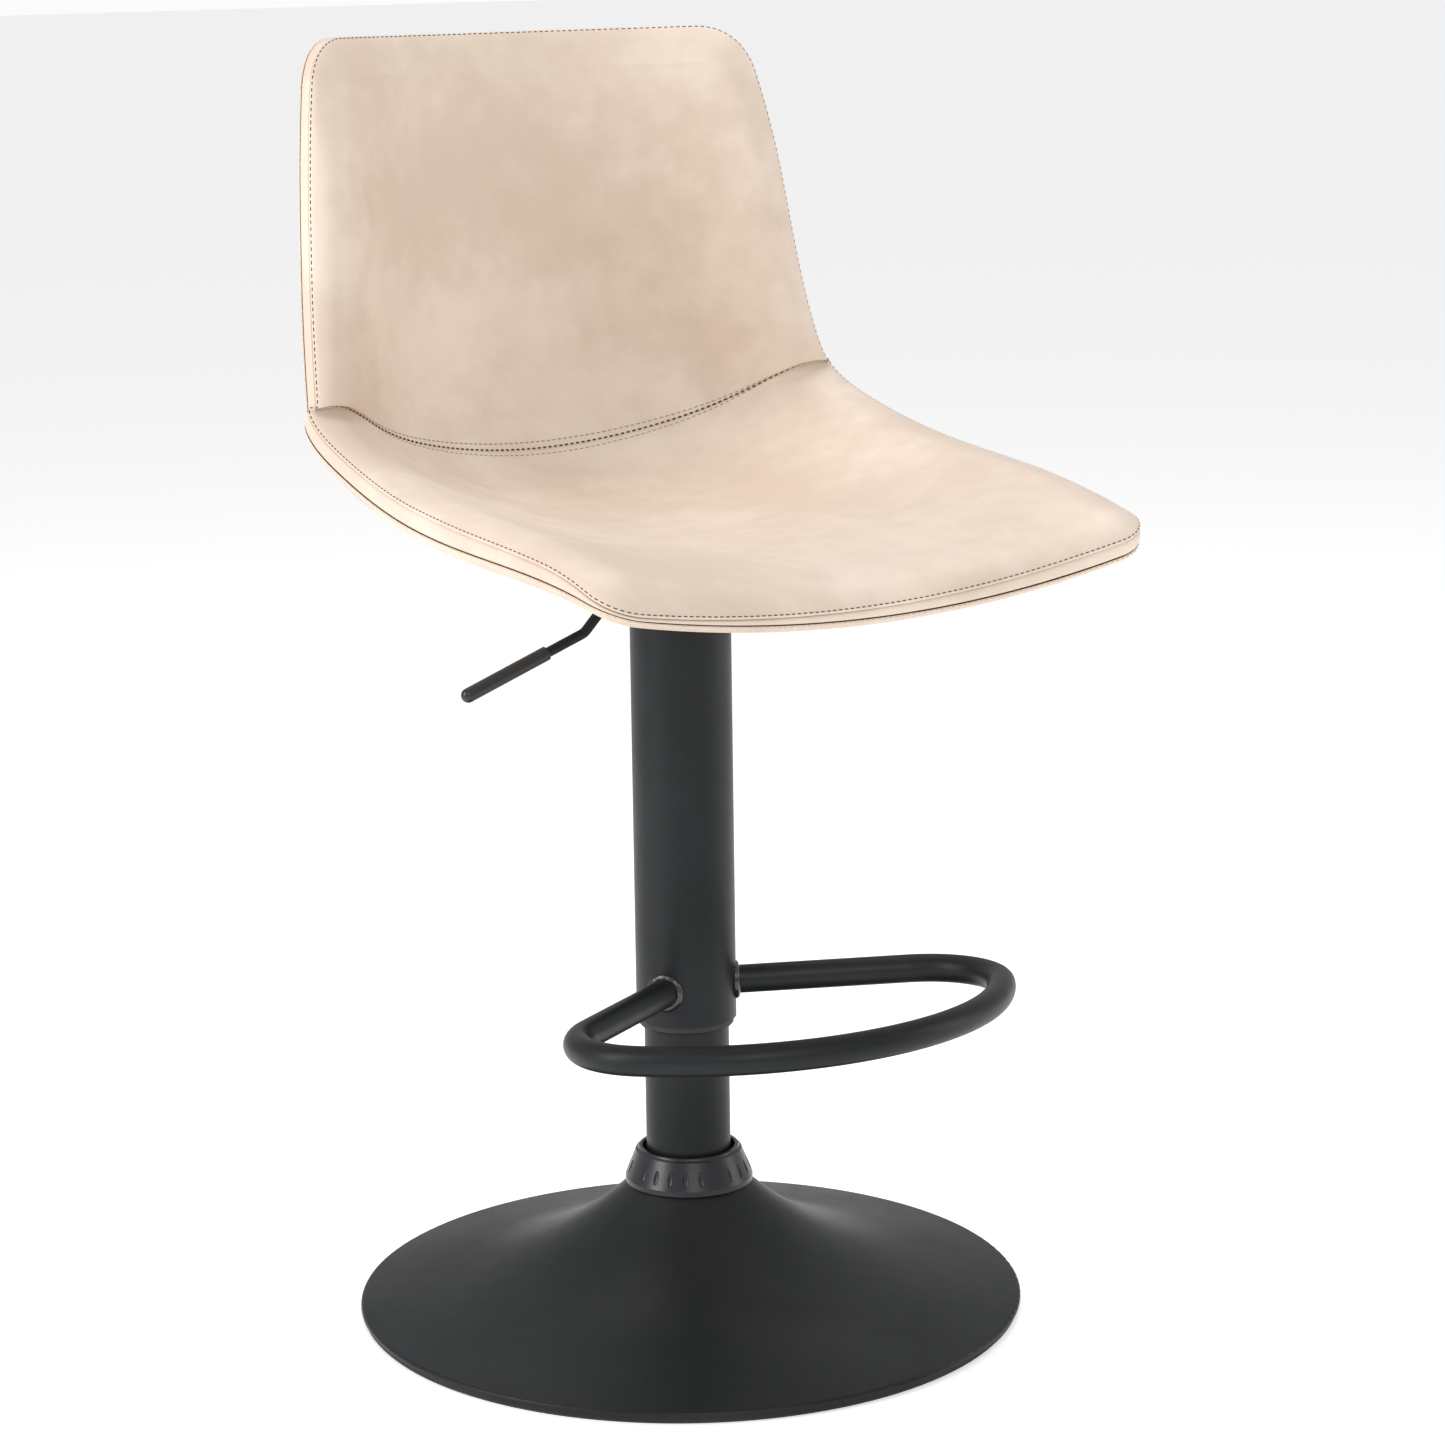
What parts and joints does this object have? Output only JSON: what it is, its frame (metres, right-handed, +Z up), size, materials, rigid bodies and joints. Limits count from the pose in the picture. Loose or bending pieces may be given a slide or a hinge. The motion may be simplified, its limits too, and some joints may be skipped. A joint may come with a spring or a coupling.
{
  "type": "adjustable swivel stool",
  "caption": "Padded bucket stool on a gas lift column with a spun round base, bent tube footrest and side lift lever.",
  "frame": {"origin": "on the floor under the column axis", "axes": "+Z up along the column, the sitter faces -Y, the sitter's right hand and the lift lever are on -X"},
  "size_m": [0.4, 0.4238, 0.7611],
  "materials": {
    "black_powder_coat": "satin powder coat",
    "weld_beads": "glossy coat over a rippled weld",
    "black_gloss_plastic": "moulded, semi-gloss",
    "black_matt_plastic": "moulded, matt",
    "black_rubber": "matt",
    "dark_steel": "matt black",
    "bright_steel": "zinc plated or ground",
    "moulded_plywood": "raw",
    "beige_faux_leather": "satin, cloudy tone, stitched"
  },
  "bodies": {
    "base": {"base_shell": "black_powder_coat", "ballast_plate": "dark_steel", "hub_socket": "dark_steel", "floor_ring": "black_rubber", "neck_collar": "black_gloss_plastic", "column_tube": "black_powder_coat", "column_end_plate": "dark_steel", "column_guide_bush": "black_matt_plastic", "bearing_lower_race": "bright_steel"},
    "lift_rod": {"piston_rod": "bright_steel", "gas_piston": "black_matt_plastic", "piston_seal": "black_rubber", "bump_stop": "black_rubber", "retaining_clip": "bright_steel", "bearing_upper_race": "bright_steel", "bearing_balls": "bright_steel", "bearing_cage": "black_matt_plastic"},
    "seat_unit": {"gas_cylinder": "dark_steel", "cylinder_end_guide": "black_matt_plastic", "taper_socket": "dark_steel", "outer_tube": "black_powder_coat", "tube_end_bush": "black_matt_plastic", "footrest_bar": "black_powder_coat", "footrest_welds": "weld_beads", "lever_housing": "dark_steel", "lever_pivot_pin": "dark_steel", "seat_plate": "dark_steel", "seat_screws": "bright_steel", "seat_washers": "bright_steel", "seat_spacers": "black_matt_plastic", "seat_tee_nuts": "bright_steel", "bucket_core": "moulded_plywood", "seat_pad": "beige_faux_leather", "back_pad": "beige_faux_leather", "rear_cover": "beige_faux_leather", "edge_band": "beige_faux_leather"},
    "lift_lever": {"lever_rod": "black_powder_coat", "lever_grip": "black_gloss_plastic"},
    "valve": {"valve_pin": "bright_steel"}
  },
  "joints": [
    {"name": "seat_swivel", "type": "hinge", "parent": "base", "child": "lift_rod", "pos_m": [0, 0, 0.02], "axis": [0, 0, 1], "continuous": true},
    {"name": "seat_lift", "type": "slide", "parent": "lift_rod", "child": "seat_unit", "axis": [0, 0, 1], "range_m": [0, 0.2]},
    {"name": "lever_pull", "type": "hinge", "parent": "seat_unit", "child": "lift_lever", "pos_m": [-0.022, 0, 0.437], "axis": [0, 1, 0], "range_deg": [0, 6.5], "stiffness_Nm_per_rad": 1.2, "springref_deg": -2.86},
    {"name": "valve_press", "type": "slide", "parent": "seat_unit", "child": "valve", "axis": [0, 0, -1], "range_m": [0, 0.0026]}
  ],
  "couplings": [
    {"joint": "valve_press", "follows": "lever_pull", "m_per_rad": 0.022}
  ]
}
